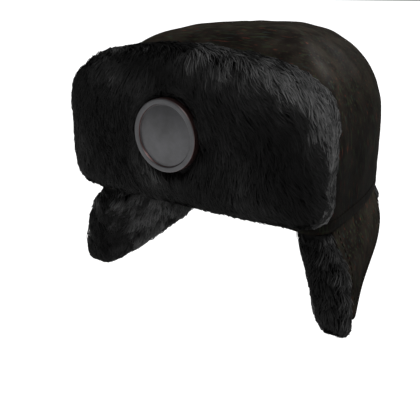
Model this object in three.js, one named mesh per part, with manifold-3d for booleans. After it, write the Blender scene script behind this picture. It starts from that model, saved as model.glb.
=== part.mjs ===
// An ushanka: a padded cloth crown, a deep fur front flap turned up against it, two ear flaps that
// hang down with cloth outside and fur inside, a short neck flap behind, and a plain round badge.
//
// Millimetres, +Z up, the front faces -Y and the wearer's left is +X.
// The origin is the centre of the head opening, in the plane of the crown's rim.

import * as THREE from "three";
import { mergeVertices } from "three/addons/utils/BufferGeometryUtils.js";
import Module from "manifold-3d";

const wasm = await Module();
wasm.setup();

// Clearance between pieces that touch.
const GAP = 0.4;

// Seen from above the crown is two half superellipses that meet at its widest section.
const CROWN = {
  halfWidth: 100.5,
  widestY: -58,
  frontY: -109,
  backY: 109,
  frontPower: 6,
  backPower: 2.2,
  height: 128,
  shoulderZ: 42, // the side wall is upright up to here, then domes over
  domePower: 2.35,
  topRadius: 104, // the dome's plan comes round to this circle towards its top
  topRounding: 0.5,
  frontLift: 10, // the front flap holds the front of the dome up
  liftShare: 0.75, // how far out from the middle that lift is greatest
  wall: 10,
  browRise: 6, // of the rim in the middle of the front
  browShare: 0.9, // how much of the front's width is arched
  around: 56,
  wallRows: 3,
  domeRows: 8,
};

// A fur pad is the packed under-fur, and the locks over it are the guard hair.
const FRONT_FLAP = {
  halfWidth: 104,
  bottomZ: 12,
  endBottomZ: 10,
  topZ: 117,
  endTopZ: 101,
  topSquareness: 5,
  bottomSquareness: 8,
  depth: 20, // of the fur in front of the flap's edge
  wrap: 8, // how far its fur reaches behind that edge, round the crown's corners
  edgeY: -114,
  bow: 5.5, // its ends lie further back than its middle
  profile: 2.5,
  locks: 28,
};

const EAR_FLAP = {
  frontY: -100,
  backY: 47,
  bottomZ: -76,
  backBottomZ: -39,
  tuckZ: 24, // how far the uncut pad runs above the rim before it is trimmed there
  outerDepth: 13,
  innerDepth: 14,
  rimReach: 30, // below the rim, within which the flap draws in to meet the crown
  rimPull: 5.3,
  frontPull: 3.5, // more of that at the flap's front corner
  rimSwell: 4, // of the fur inside that corner, next to the rim
  frontFlare: 0.25,
  backFlare: 0.05,
  frontSquareness: 11,
  backSquareness: 4,
  profile: 6,
  clothAround: 36,
  locks: 23,
};

// The line in the middle of an ear flap's thickness, at the rim, on the +X side.
const EAR_SPINE = [
  { x: 94, y: -112 },
  { x: 93, y: -78 },
  { x: 91, y: -50 },
  { x: 86, y: 5 },
  { x: 79, y: 33 },
  { x: 64, y: 68 },
];

const NECK_FLAP = {
  endY: 56,
  bottomZ: -40,
  tuckZ: 24,
  inset: 4, // of the flap's middle from the crown's outline
  outerDepth: 9,
  innerDepth: 11,
  rimReach: 24,
  rimPull: 6,
  frontPull: 0,
  rimSwell: 0,
  flare: 0.12,
  squareness: 5,
  profile: 6,
  clothAround: 40,
  locks: 27,
};

// The cloth that faces the outside of an ear or neck flap, let into the fur.
const CLOTH = { thickness: 2.5, reach: 0.88, proud: 0.6 };

const BADGE = {
  radius: 24,
  thickness: 7.5,
  rimWidth: 3.8,
  rimHeight: 1.3,
  bevel: 0.9,
  domeHeight: 2.4,
  domeSteps: 4,
  z: 63,
  seatDepth: 2,
  postRadius: 2,
  postLength: 7,
  around: 28,
};

// Locks of guard hair lie in courses round the middle of a pad, with their tips towards its edge.
const LOCK = {
  height: 2.6,
  tipLift: 1.7,
  rootDepth: 0.9, // of the next course's roots under the tips
  zigzag: 0.34, // how far tips pass their course's end, as a share of its length
  unevenness: 0.6,
  curl: 0.06, // how far the locks bend down towards a pad's ends, in turns
  bareShoulder: 0.24, // where the face without locks ends, from its middle
};

// Each furred piece draws its own unevenness.
const SEED = { front: 11, ear: 23, neck: 37 };

// Where the courses begin and end: 0 is the middle of the furred face, 0.5 its edge, 1 the far face.
const FRONT_COURSES = [0, 0.07, 0.13, 0.19, 0.26, 0.34, 0.43, 0.55];
const HANGING_COURSES = [0, 0.07, 0.125, 0.175, 0.225, 0.31, 0.48, 0.68];

const MATERIALS = {
  cloth: new THREE.MeshStandardMaterial({ color: 0x2a2622, roughness: 0.9, metalness: 0 }),
  fur: new THREE.MeshStandardMaterial({ color: 0x1f1f1f, roughness: 0.85, metalness: 0 }),
  badge: new THREE.MeshStandardMaterial({ color: 0x6a6a6c, roughness: 0.45, metalness: 0.9 }),
};

// A repeatable stream of numbers from 0 to 1.
function seededRandom(seed) {
  let state = seed;
  return () => {
    state = (state * 1664525 + 1013904223) % 4294967296;
    return state / 4294967296;
  };
}

function signedPower(value, power) {
  return Math.sign(value) * Math.abs(value) ** power;
}

// The crown's outline at the rim, grown by some clearance, from the middle of the front towards +X.
function crownOutline(growth) {
  const points = [];
  const steps = 240;
  for (let i = 0; i < steps; i++) {
    const angle = (i / steps) * 2 * Math.PI - Math.PI / 2;
    const front = Math.sin(angle) < 0;
    const power = 2 / (front ? CROWN.frontPower : CROWN.backPower);
    const reach = front ? CROWN.widestY - CROWN.frontY : CROWN.backY - CROWN.widestY;
    points.push(
      new THREE.Vector3(
        (CROWN.halfWidth + growth) * signedPower(Math.cos(angle), power),
        CROWN.widestY + (reach + growth) * signedPower(Math.sin(angle), power),
        0,
      ),
    );
  }
  const curve = new THREE.CatmullRomCurve3(points, true, "centripetal");
  curve.arcLengthDivisions = 2000;
  return curve;
}

const OUTLINE = crownOutline(0);

// A point at a share of a curve's length, moved out on the curve's outer side, at height z.
function besideCurve(curve, share, out, z) {
  const inRange = Math.min(1, Math.max(0, share));
  const point = curve.getPointAt(inRange);
  const tangent = curve.getTangentAt(inRange);
  const past = (share - inRange) * curve.getLength();
  return new THREE.Vector3(
    point.x + tangent.y * out + tangent.x * past,
    point.y - tangent.x * out + tangent.y * past,
    z,
  );
}

// The share of a curve's length at which it first passes a given y.
function shareAtY(curve, y, from, to) {
  let low = from;
  let high = to;
  for (let i = 0; i < 40; i++) {
    const middle = (low + high) / 2;
    if (curve.getPointAt(middle).y < y) low = middle;
    else high = middle;
  }
  return low;
}

// A lathe's closed body, with every vertex moved by place(radius, turn, height), turn from 0 to 1.
function warpedLathe(profile, around, place) {
  const geometry = new THREE.LatheGeometry(profile, around);
  const position = geometry.getAttribute("position");
  for (let i = 0; i < position.count; i++) {
    const x = position.getX(i);
    const z = position.getZ(i);
    const turn = (Math.atan2(x, z) / (2 * Math.PI) + 1) % 1;
    const placed = place(Math.hypot(x, z), turn, position.getY(i));
    position.setXYZ(i, placed.x, placed.y, placed.z);
  }
  return toSolid(geometry);
}

function toSolid(geometry) {
  const bare = geometry.clone();
  bare.deleteAttribute("normal");
  bare.deleteAttribute("uv");
  const merged = mergeVertices(bare, 1e-4);
  const corners = Array.from(merged.index.array);
  const position = merged.getAttribute("position");
  const a = new THREE.Vector3();
  const b = new THREE.Vector3();
  const c = new THREE.Vector3();
  let volume = 0;
  for (let i = 0; i < corners.length; i += 3) {
    a.fromBufferAttribute(position, corners[i]);
    b.fromBufferAttribute(position, corners[i + 1]);
    c.fromBufferAttribute(position, corners[i + 2]);
    volume += a.dot(b.cross(c));
  }
  if (volume < 0) corners.reverse();
  return new wasm.Manifold(
    new wasm.Mesh({
      numProp: 3,
      vertProperties: new Float32Array(position.array),
      triVerts: new Uint32Array(corners),
    }),
  );
}

function toGeometry(solid) {
  const mesh = solid.getMesh();
  const geometry = new THREE.BufferGeometry();
  geometry.setAttribute("position", new THREE.BufferAttribute(mesh.vertProperties, 3));
  geometry.setIndex(new THREE.BufferAttribute(mesh.triVerts, 1));
  geometry.computeVertexNormals();
  return geometry;
}

// Everything above z, as a solid to take away.
function spaceAbove(z) {
  const size = 600;
  const box = new THREE.BoxGeometry(size, size, size);
  box.translate(0, 0, z + size / 2);
  return toSolid(box);
}

// The crown's wall as a closed half section: share of the way out to the outline against height.
function crownSection() {
  const outer = [];
  const inner = [];
  const wallShare = 1 - CROWN.wall / CROWN.halfWidth;
  for (let i = 0; i < CROWN.wallRows; i++) {
    outer.push(new THREE.Vector2(1, (CROWN.shoulderZ * i) / CROWN.wallRows));
  }
  for (let i = 0; i <= CROWN.domeRows; i++) {
    const angle = (i / CROWN.domeRows) * (Math.PI / 2);
    const out = i === CROWN.domeRows ? 0 : Math.cos(angle) ** (2 / CROWN.domePower);
    const up = Math.sin(angle) ** (2 / CROWN.domePower);
    const rise = CROWN.height - CROWN.shoulderZ;
    outer.push(new THREE.Vector2(out, CROWN.shoulderZ + rise * up));
    inner.push(new THREE.Vector2(out * wallShare, CROWN.shoulderZ + (rise - CROWN.wall) * up));
  }
  inner.unshift(new THREE.Vector2(wallShare, 0));
  return [...outer, ...inner.reverse(), outer[0]];
}

// The outer dome is held up over the front flap, most of the way out from the middle.
function crownLift(edge, share, height) {
  const forward = Math.max(0, edge.y / CROWN.frontY);
  const overShoulder = Math.max(0, height - CROWN.shoulderZ) / CROWN.shoulderZ;
  const inwards = (1 - share) / (1 - CROWN.liftShare);
  const hump = inwards * (share / CROWN.liftShare) ** 3;
  return CROWN.frontLift * forward ** 2 * hump * Math.min(1, overShoulder);
}

// The rim is arched over the brow and comes down to its plane at the front corners.
function browRise(edge, height) {
  if (height > 0 || edge.y > 0) return 0;
  const fromMiddle = edge.x / (CROWN.browShare * CROWN.halfWidth);
  return CROWN.browRise * Math.max(0, 1 - fromMiddle ** 4);
}

// A point of the crown, a share of the way out to an outline and at a height before it is lifted.
function onCrown(outline, turn, share, height) {
  const edge = besideCurve(outline, turn, 0, 0);
  const rounding = CROWN.topRounding * (1 - share);
  const reach = THREE.MathUtils.lerp(edge.length(), CROWN.topRadius, rounding);
  const lift = crownLift(edge, share, height) + browRise(edge, height);
  return edge.setLength(share * reach).setZ(height + lift);
}

function crown() {
  return warpedLathe(crownSection(), CROWN.around, (share, turn, height) => {
    return onCrown(OUTLINE, turn, share, height);
  });
}

// The crown's outside with clearance, filled in, as a solid to take away.
function crownWithClearance() {
  const outline = crownOutline(GAP);
  const outside = crownSection().slice(0, CROWN.wallRows + CROWN.domeRows + 1);
  const profile = [new THREE.Vector2(0, -CROWN.height), new THREE.Vector2(1, -CROWN.height)];
  return warpedLathe([...profile, ...outside], CROWN.around, (share, turn, height) => {
    const point = onCrown(outline, turn, share, height);
    return height > CROWN.shoulderZ ? point.setZ(point.z + GAP) : point;
  });
}

// A point of a superellipse of half sizes 1, in the direction of an angle.
function superellipse(angle, squareness) {
  const across = Math.cos(angle);
  const rise = Math.sin(angle);
  const size = (Math.abs(across) ** squareness + Math.abs(rise) ** squareness) ** (1 / squareness);
  return { across: across / size, rise: rise / size };
}

// A pad's section at s, from the middle of its outer face (0) over its edge to its back (1).
function padSection(s, squareness) {
  const { across, rise } = superellipse(s * Math.PI, squareness);
  return { share: rise, face: across };
}

// The front flap's outline has an arched top with round corners and a nearly straight bottom.
const frontFlapPad = {
  locks: FRONT_FLAP.locks,
  courses: FRONT_COURSES,
  farPole: 1,
  surface(s, turn) {
    const { share, face } = padSection(s, FRONT_FLAP.profile);
    const angle = turn * 2 * Math.PI;
    const up = Math.sin(angle) > 0;
    const edge = superellipse(angle, up ? FRONT_FLAP.topSquareness : FRONT_FLAP.bottomSquareness);
    const across = share * edge.across;
    const top = THREE.MathUtils.lerp(FRONT_FLAP.topZ, FRONT_FLAP.endTopZ, across ** 2);
    const bottom = THREE.MathUtils.lerp(FRONT_FLAP.bottomZ, FRONT_FLAP.endBottomZ, across ** 2);
    const depth = face > 0 ? FRONT_FLAP.depth : FRONT_FLAP.wrap;
    return new THREE.Vector3(
      FRONT_FLAP.halfWidth * across,
      FRONT_FLAP.edgeY + FRONT_FLAP.bow * across ** 2 - depth * face,
      (top + bottom) / 2 + (share * edge.rise * (top - bottom)) / 2,
    );
  },
};

function spineCurve(rows) {
  return new THREE.CatmullRomCurve3(rows.map(({ x, y }) => new THREE.Vector3(x, y, 0)));
}

// A flap that hangs from the rim along a stretch of a curve, before it is trimmed at the rim.
// Its fur lies in courses from the middle of its inner face, so they run from s = 1 towards 0.
function hangingPad(flap) {
  const middle = (flap.from + flap.to) / 2;
  const halfLength = (flap.to - flap.from) / 2;
  return {
    locks: flap.locks,
    courses: HANGING_COURSES.map((way) => 1 - way),
    farPole: 0,
    surface(s, turn) {
      const { share, face } = padSection(s, flap.profile);
      const angle = turn * 2 * Math.PI;
      const toBack = Math.cos(angle) > 0;
      const edge = superellipse(angle, toBack ? flap.backSquareness : flap.frontSquareness);
      const along = share * edge.across;
      const rise = share * edge.rise;
      const backness = (1 + along) / 2;
      const bottom = THREE.MathUtils.lerp(flap.bottomZ, flap.backBottomZ, backness);
      const flare = THREE.MathUtils.lerp(flap.backFlare, flap.frontFlare, (1 - backness) ** 3);
      const z = rise > 0 ? flap.tuckZ * rise : -bottom * rise;
      const nearRim = 1 - THREE.MathUtils.smoothstep(-z, 0, flap.rimReach);
      const pull = (flap.rimPull + flap.frontPull * (1 - backness) ** 3) * nearRim;
      const inner = flap.innerDepth + flap.rimSwell * (1 - backness) * nearRim;
      const depth = face > 0 ? flap.outerDepth - pull : inner;
      const out = depth * face - flare * Math.min(0, z);
      return besideCurve(flap.curve, middle + along * halfLength, flap.outwards + out, z);
    },
  };
}

function earFlap() {
  const curve = spineCurve(EAR_SPINE);
  return {
    ...EAR_FLAP,
    curve,
    outwards: 0,
    from: shareAtY(curve, EAR_FLAP.frontY, 0, 1),
    to: shareAtY(curve, EAR_FLAP.backY, 0, 1),
  };
}

function neckFlap() {
  const start = shareAtY(OUTLINE, NECK_FLAP.endY, 0.1, 0.5);
  return {
    ...NECK_FLAP,
    curve: OUTLINE,
    outwards: -NECK_FLAP.inset,
    from: start,
    to: 1 - start,
    backBottomZ: NECK_FLAP.bottomZ,
    frontFlare: NECK_FLAP.flare,
    backFlare: NECK_FLAP.flare,
    frontSquareness: NECK_FLAP.squareness,
    backSquareness: NECK_FLAP.squareness,
  };
}

// Cloth let into a hanging pad's outer face, between two depths measured from that face.
function clothBody(flap, reach, lowest, highest) {
  const pad = hangingPad(flap);
  const profile = [
    new THREE.Vector2(0, lowest),
    new THREE.Vector2(reach / 2, lowest),
    new THREE.Vector2(reach, lowest),
    new THREE.Vector2(reach, highest),
    new THREE.Vector2(reach / 2, highest),
    new THREE.Vector2(0, highest),
  ];
  return warpedLathe(profile, flap.clothAround, (share, turn, lift) => {
    const face = (1 - share ** flap.profile) ** (1 / flap.profile);
    const s = Math.atan2(share, face) / Math.PI;
    const outward = pad.surface(s, turn).sub(pad.surface(1 - s, turn)).normalize();
    return pad.surface(s, turn).addScaledVector(outward, lift);
  });
}

function clothPanel(flap) {
  const lowest = CLOTH.proud - CLOTH.thickness;
  return clothBody(flap, CLOTH.reach, lowest, CLOTH.proud).subtract(spaceAbove(-GAP));
}

// The seat is the same shape with clearance, and it is open outwards.
function clothSeat(flap) {
  const reach = CLOTH.reach + GAP / Math.abs(flap.backBottomZ);
  const lowest = CLOTH.proud - CLOTH.thickness - GAP;
  return clothBody(flap, reach, lowest, 3 * LOCK.height);
}

// A pad's outward direction where its surface is sampled.
function padNormal(pad, s, turn) {
  const step = 1e-3;
  const alongS = pad.surface(s + step, turn).sub(pad.surface(s - step, turn));
  const alongTurn = pad.surface(s, turn + step).sub(pad.surface(s, turn - step));
  return alongS.cross(alongTurn).normalize();
}

// Turns at which a pad's edge is cut into equal lengths.
function evenTurns(pad, count) {
  const samples = 200;
  const edge = Array.from({ length: samples }, (_, i) => pad.surface(0.5, i / samples));
  const curve = new THREE.CatmullRomCurve3(edge, true);
  return Array.from({ length: count }, (_, i) => curve.getUtoTmapping(i / count));
}

// The rows of a furred pad. Each course of locks has a row of roots, a row of crests and a row of
// tips. Locks and the partings between them alternate round it, and swap places in the next course.
function lockRows(pad, stations, random) {
  const flat = Array(stations).fill(0);
  const rows = [];
  let zigzag = flat;
  for (let course = 1; course < pad.courses.length; course++) {
    const start = pad.courses[course - 1];
    const length = pad.courses[course] - start;
    const size = flat.map(() => 1 + LOCK.unevenness * (random() - 0.5));
    const isLock = (i) => (i + course) % 2 === 0;
    const crests = size.map((scale, i) => (isLock(i) ? scale * LOCK.height : 0));
    const tips = size.map((_, i) => (isLock(i) ? LOCK.tipLift : 0));
    rows.push({ s: start, shift: zigzag, lift: flat.map(() => -LOCK.rootDepth) });
    rows.push({ s: start + length / 2, shift: flat, lift: crests });
    zigzag = size.map((scale, i) => LOCK.zigzag * length * (isLock(i) ? scale : -scale));
    rows.push({ s: start + length, shift: zigzag, lift: tips });
  }
  rows.push({ s: Math.abs(pad.farPole - LOCK.bareShoulder), shift: flat, lift: flat });
  rows.push({ s: pad.farPole, shift: flat, lift: flat });
  return rows;
}

function furPad(pad, seed) {
  const turns = evenTurns(pad, 2 * pad.locks);
  const rows = lockRows(pad, turns.length, seededRandom(seed));
  const last = rows.length - 1;
  const profile = rows.map((_, row) => new THREE.Vector2(row % last === 0 ? 0 : 1, row));
  return warpedLathe(profile, turns.length, (radius, share, row) => {
    const { s, shift, lift } = rows[Math.round(row)];
    const station = Math.round(share * turns.length) % turns.length;
    const fromStart = Math.abs(s - pad.courses[0]);
    const curl = LOCK.curl * fromStart * Math.cos(turns[station] * 2 * Math.PI);
    const place = s + shift[station];
    const turn = turns[station] - curl;
    return pad.surface(place, turn).addScaledVector(padNormal(pad, place, turn), lift[station]);
  });
}

// Turns a profile about the badge's axis and stands it on the face of the front flap.
function badgeTurned(profile) {
  const backY = FRONT_FLAP.edgeY - FRONT_FLAP.depth + BADGE.seatDepth;
  return warpedLathe(profile, BADGE.around, (radius, turn, height) => {
    const angle = turn * 2 * Math.PI;
    const across = radius * Math.sin(angle);
    return new THREE.Vector3(across, backY - height, BADGE.z + radius * Math.cos(angle));
  });
}

// The badge is domed inside a raised rim, with a post behind it that goes into the fur.
function badge() {
  const { radius, thickness, bevel, domeHeight, postRadius, postLength } = BADGE;
  const inner = radius - BADGE.rimWidth;
  const floor = thickness - BADGE.rimHeight;
  const profile = [
    new THREE.Vector2(0, -postLength),
    new THREE.Vector2(postRadius, -postLength),
    new THREE.Vector2(postRadius, 0),
    new THREE.Vector2(radius, 0),
    new THREE.Vector2(radius, thickness - bevel),
    new THREE.Vector2(radius - bevel, thickness),
    new THREE.Vector2(inner + bevel / 2, thickness),
  ];
  for (let i = 0; i <= BADGE.domeSteps; i++) {
    const out = 1 - i / BADGE.domeSteps;
    profile.push(new THREE.Vector2(inner * out, floor + domeHeight * (1 - out ** 2)));
  }
  return badgeTurned(profile);
}

// The seat is the badge's back and post with clearance, and it is open to the front.
function badgeSeat() {
  const radius = BADGE.radius + GAP;
  const postRadius = BADGE.postRadius + GAP;
  const front = 4 * BADGE.thickness;
  return badgeTurned([
    new THREE.Vector2(0, -BADGE.postLength - GAP),
    new THREE.Vector2(postRadius, -BADGE.postLength - GAP),
    new THREE.Vector2(postRadius, -GAP),
    new THREE.Vector2(radius, -GAP),
    new THREE.Vector2(radius, front),
    new THREE.Vector2(0, front),
  ]);
}

// Cuts seats out of a pad and drops any tip of a lock that a cut parts from it.
function seated(pad, ...seats) {
  const cut = seats.reduce((rest, seat) => rest.subtract(seat), pad);
  const bodies = cut.decompose();
  return bodies.reduce((largest, body) => (body.volume() > largest.volume() ? body : largest));
}

function frontFlap() {
  return seated(furPad(frontFlapPad, SEED.front), crownWithClearance(), badgeSeat());
}

function hangingFur(flap, seed) {
  return seated(furPad(hangingPad(flap), seed), clothSeat(flap), spaceAbove(-GAP));
}

function mirrored(solid) {
  return solid.mirror([1, 0, 0]);
}

function namedMesh(name, solid, material) {
  const mesh = new THREE.Mesh(toGeometry(solid), material);
  mesh.name = name;
  return mesh;
}

const ear = earFlap();
const neck = neckFlap();
const earFur = hangingFur(ear, SEED.ear);
const earCloth = clothPanel(ear);

const parts = new THREE.Group();
parts.add(
  namedMesh("crown", crown(), MATERIALS.cloth),
  namedMesh("front_flap", frontFlap(), MATERIALS.fur),
  namedMesh("badge", badge(), MATERIALS.badge),
  namedMesh("ear_flap_fur_left", earFur, MATERIALS.fur),
  namedMesh("ear_flap_fur_right", mirrored(earFur), MATERIALS.fur),
  namedMesh("ear_flap_cloth_left", earCloth, MATERIALS.cloth),
  namedMesh("ear_flap_cloth_right", mirrored(earCloth), MATERIALS.cloth),
  namedMesh("neck_flap_fur", hangingFur(neck, SEED.neck), MATERIALS.fur),
  namedMesh("neck_flap_cloth", clothPanel(neck), MATERIALS.cloth),
);

export default parts;
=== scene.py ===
"""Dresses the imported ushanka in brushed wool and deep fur, with a plain round badge."""

import logging
import math
from collections.abc import Callable, Sequence
from dataclasses import dataclass, replace
from enum import Enum

import bmesh
import bpy
import numpy as np
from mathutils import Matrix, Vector
from mathutils.bvhtree import BVHTree


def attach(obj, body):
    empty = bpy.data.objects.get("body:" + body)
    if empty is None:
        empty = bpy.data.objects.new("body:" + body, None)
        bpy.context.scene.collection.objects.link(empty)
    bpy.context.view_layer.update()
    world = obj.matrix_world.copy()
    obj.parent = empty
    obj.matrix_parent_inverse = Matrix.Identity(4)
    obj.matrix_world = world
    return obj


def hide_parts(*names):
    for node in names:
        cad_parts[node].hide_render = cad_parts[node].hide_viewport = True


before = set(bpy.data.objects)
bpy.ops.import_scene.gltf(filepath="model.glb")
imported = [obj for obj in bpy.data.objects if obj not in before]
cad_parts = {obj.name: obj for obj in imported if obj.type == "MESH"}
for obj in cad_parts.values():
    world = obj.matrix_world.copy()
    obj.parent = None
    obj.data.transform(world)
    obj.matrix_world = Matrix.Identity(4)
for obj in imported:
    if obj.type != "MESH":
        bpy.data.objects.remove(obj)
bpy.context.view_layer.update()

MM = 0.001
BODY = "root"
LOG = logging.getLogger("ushanka")

Array = np.ndarray
Material = bpy.types.Material
Mesh = bpy.types.Mesh
Piece = bpy.types.Object
Socket = bpy.types.NodeSocket
Tree = bpy.types.NodeTree
Place = Callable[[Array, Array], Array]


class Side(Enum):
    """The wearer's side that an ear flap hangs on, with the sign of its X."""

    LEFT = 1
    RIGHT = -1


class Slot(Enum):
    """The record's material slots."""

    CLOTH = "cloth"
    FUR = "fur"
    BADGE = "badge"


def linear(hex_colour: str) -> tuple[float, float, float, float]:
    """Turns an sRGB colour into the linear one that shaders take.

    Args:
        hex_colour: Six hex digits, red first.

    Returns:
        Linear red, green and blue, and an alpha of 1.
    """
    channels = [int(hex_colour[i : i + 2], 16) / 255 for i in (0, 2, 4)]
    lit = [c / 12.92 if c <= 0.04045 else ((c + 0.055) / 1.055) ** 2.4 for c in channels]
    return (*lit, 1.0)


def add_node(
    tree: Tree, kind: str, inputs: dict[str | int, object] | None = None, **settings: object
) -> bpy.types.Node:
    """Adds a shader node with its settings, values and links.

    Args:
        tree: The node tree that it goes into.
        kind: The node's type, without the ShaderNode that it starts with.
        inputs: A value, or a socket to link from, for each input by name or number.
        settings: The node's own fields.

    Returns:
        The new node.
    """
    node = tree.nodes.new(f"ShaderNode{kind}")
    for name, value in settings.items():
        setattr(node, name, value)
    for name, value in (inputs or {}).items():
        if isinstance(value, Socket):
            tree.links.new(value, node.inputs[name])
        else:
            node.inputs[name].default_value = value
    return node


def set_stops(ramp: bpy.types.Node, stops: dict[float, str]) -> None:
    """Sets the stops of a colour ramp.

    Args:
        ramp: The ramp's node.
        stops: The sRGB colour at each place, in order.
    """
    elements = ramp.color_ramp.elements
    while len(elements) < len(stops):
        elements.new(1.0)
    for element, (place, colour) in zip(elements, stops.items()):
        element.position = place
        element.color = linear(colour)


@dataclass(frozen=True)
class Finish:
    """A real material, known by what it is called."""

    name: str

    def values(self, tree: Tree) -> dict[str, object]:
        """Gives the shader's values, each a number, a colour or a socket of the finish's nodes."""
        raise NotImplementedError

    def make(self) -> Material:
        """Makes the material.

        Returns:
            The material, with its shader linked to the output.
        """
        material = bpy.data.materials.new(self.name)
        material.use_nodes = True
        tree = material.node_tree
        tree.nodes.clear()
        shader = add_node(tree, "BsdfPrincipled", self.values(tree))
        add_node(tree, "OutputMaterial", {0: shader.outputs[0]})
        return material


@dataclass(frozen=True)
class Yarn:
    """A yarn of the cloth: its colour, and the noise channel and level from which it shows."""

    colour: str
    channel: int
    least: float


@dataclass(frozen=True)
class BrushedWool(Finish):
    """Wool coating, woven of mixed dark yarns and brushed, so that its fibres lie along the nap.

    The eye sees a dark cloth with dim coloured flecks, made lighter or darker by the painted light
    and shade that each piece stores. The nap runs down the sides and across the top. A fleck and a
    fibre have a width and a length, drawn coarser than those of real ones, which are too fine to show.
    """

    name: str = "brushed wool coating"
    shadow: str = "0a0807"
    ground: str = "15120f"
    yarns: tuple[Yarn, ...] = (
        Yarn("1a1f14", 1, 0.56),
        Yarn("151d1b", 2, 0.61),
        Yarn("3b1d16", 0, 0.64),
    )
    fade: float = 0.14
    side_flecks: float = 1.0
    top_flecks: float = 0.55
    gloss: float = 0.035
    fleck: tuple[float, float] = (1.8 * MM, 10 * MM)
    fibre: tuple[float, float] = (0.9 * MM, 7 * MM)
    patch: float = 16 * MM
    relief: float = 0.25 * MM

    def flecked(
        self, tree: Tree, where: Socket, nap: int, strength: float
    ) -> tuple[Socket, Socket]:
        """Draws coloured yarn flecks and raised fibres along one axis.

        Args:
            tree: The material's node tree.
            where: The Object coordinates.
            nap: The axis that the nap runs along, 0 to 2.
            strength: How much of the yarns' own colour shows, 0 to 1.

        Returns:
            The colour and the fibres' height.
        """
        noises = []
        for (width, length), detail, roughness in ((self.fleck, 1.5, 0.6), (self.fibre, 2.0, 0.5)):
            scale = [1 / (length if axis == nap else width) for axis in range(3)]
            place = add_node(tree, "Mapping", {"Vector": where, "Scale": scale})
            inputs = {"Vector": place.outputs[0], "Scale": 1.0, "Detail": detail, "Roughness": roughness}
            noises.append(add_node(tree, "TexNoise", inputs))
        speckle, fibres = noises
        apart = add_node(tree, "SeparateColor", {0: speckle.outputs["Color"]})
        patches = add_node(tree, "TexNoise", {"Vector": where, "Scale": 1 / self.patch, "Detail": 2.0})
        ground = add_node(tree, "ValToRGB", {0: patches.outputs[0]})
        set_stops(ground, {0.36: self.shadow, 0.66: self.ground})
        colour = ground.outputs[0]
        for yarn in self.yarns:
            most = yarn.least + self.fade
            inputs = {0: apart.outputs[yarn.channel], 1: yarn.least, 2: most, 4: strength}
            amount = add_node(tree, "MapRange", inputs)
            inputs = {0: amount.outputs[0], 6: colour, 7: linear(yarn.colour)}
            colour = add_node(tree, "Mix", inputs, data_type="RGBA").outputs[2]
        return colour, fibres.outputs[0]

    def values(self, tree: Tree) -> dict[str, object]:
        """Mixes the nap of the sides and the top, and scales the colour by each piece's painted light
        and shade.

        Args:
            tree: The material's node tree.

        Returns:
            The shader's values.
        """
        where = add_node(tree, "TexCoord").outputs["Object"]
        top = add_node(tree, "Attribute", attribute_name="top").outputs["Fac"]
        # Painted light and shade: each piece stores a factor that lightens its top, paints a highlight
        # on the crown's shoulders, and darkens the crown near its rim and the flap panels lower down.
        painted_light_and_shade = add_node(tree, "Attribute", attribute_name="painted_light_and_shade").outputs["Fac"]
        side_colour, side_fibres = self.flecked(tree, where, 2, self.side_flecks)
        top_colour, top_fibres = self.flecked(tree, where, 0, self.top_flecks)
        mixed = add_node(tree, "Mix", {0: top, 6: side_colour, 7: top_colour}, data_type="RGBA")
        colour = add_node(tree, "HueSaturation", {"Value": painted_light_and_shade, "Color": mixed.outputs[2]})
        fibres = add_node(tree, "Mix", {0: top, 2: side_fibres, 3: top_fibres})
        inputs = {"Strength": 0.7, "Distance": self.relief, "Height": fibres.outputs[0]}
        return {
            "Base Color": colour.outputs[0],
            "Roughness": 0.8,
            "Specular IOR Level": 0.0,
            "Coat Weight": self.gloss,
            "Coat Roughness": 0.42,
            "Normal": add_node(tree, "Bump", inputs).outputs[0],
        }


@dataclass(frozen=True)
class UnderFur(Finish):
    """The dense short hair next to the skin, seen between the locks as a dark soft ground."""

    name: str = "charcoal under-fur"
    deep: str = "0b0b0b"
    soft: str = "161616"
    tuft: float = 5 * MM
    relief: float = 1.2 * MM

    def values(self, tree: Tree) -> dict[str, object]:
        """Darkens the ground between soft tufts.

        Args:
            tree: The material's node tree.

        Returns:
            The shader's values.
        """
        where = add_node(tree, "TexCoord").outputs["Object"]
        inputs = {"Vector": where, "Scale": 1 / self.tuft, "Detail": 4.0, "Roughness": 0.7}
        tufts = add_node(tree, "TexNoise", inputs).outputs[0]
        colour = add_node(tree, "ValToRGB", {0: tufts})
        set_stops(colour, {0.35: self.deep, 0.7: self.soft})
        inputs = {"Strength": 1.0, "Distance": self.relief, "Height": tufts}
        return {
            "Base Color": colour.outputs[0],
            "Roughness": 0.9,
            "Specular IOR Level": 0.0,
            "Normal": add_node(tree, "Bump", inputs).outputs[0],
        }


@dataclass(frozen=True)
class GuardHair(Finish):
    """Long dyed guard hair: charcoal, paler towards its tips and in random patches, with a silver grey
    painted highlight.
    """

    name: str = "charcoal guard hair"
    root: str = "0d0d0d"
    dark: str = "0c0c0c"
    mid: str = "131313"
    pale: str = "262626"
    palest_and_highlight: str = "606060"
    own_tone: float = 0.12
    root_end: float = 0.75

    def values(self, tree: Tree) -> dict[str, object]:
        """Reads how far along a hair is, the tone of its lock and its own from "hair".

        Args:
            tree: The material's node tree.

        Returns:
            The shader's values.
        """
        hair = add_node(tree, "Attribute", attribute_name="hair")
        way, lock, own = add_node(tree, "SeparateColor", {0: hair.outputs["Color"]}).outputs
        tone = add_node(tree, "Math", {0: own, 1: self.own_tone, 2: lock}, operation="MULTIPLY_ADD")
        colour = add_node(tree, "ValToRGB", {0: tone.outputs[0]})
        # The last stop, silver grey, shows on the palest patches and mostly as painted highlight.
        set_stops(colour, {0.05: self.dark, 0.45: self.mid, 0.75: self.pale, 1.0: self.palest_and_highlight})
        depth = add_node(tree, "MapRange", {0: way, 1: 0.0, 2: self.root_end})
        inputs = {0: depth.outputs[0], 6: linear(self.root), 7: colour.outputs[0]}
        return {
            "Base Color": add_node(tree, "Mix", inputs, data_type="RGBA").outputs[2],
            "Roughness": 0.7,
            "Specular IOR Level": 0.0,
            "Coat Weight": 0.12,
            "Coat Roughness": 0.38,
        }


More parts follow.
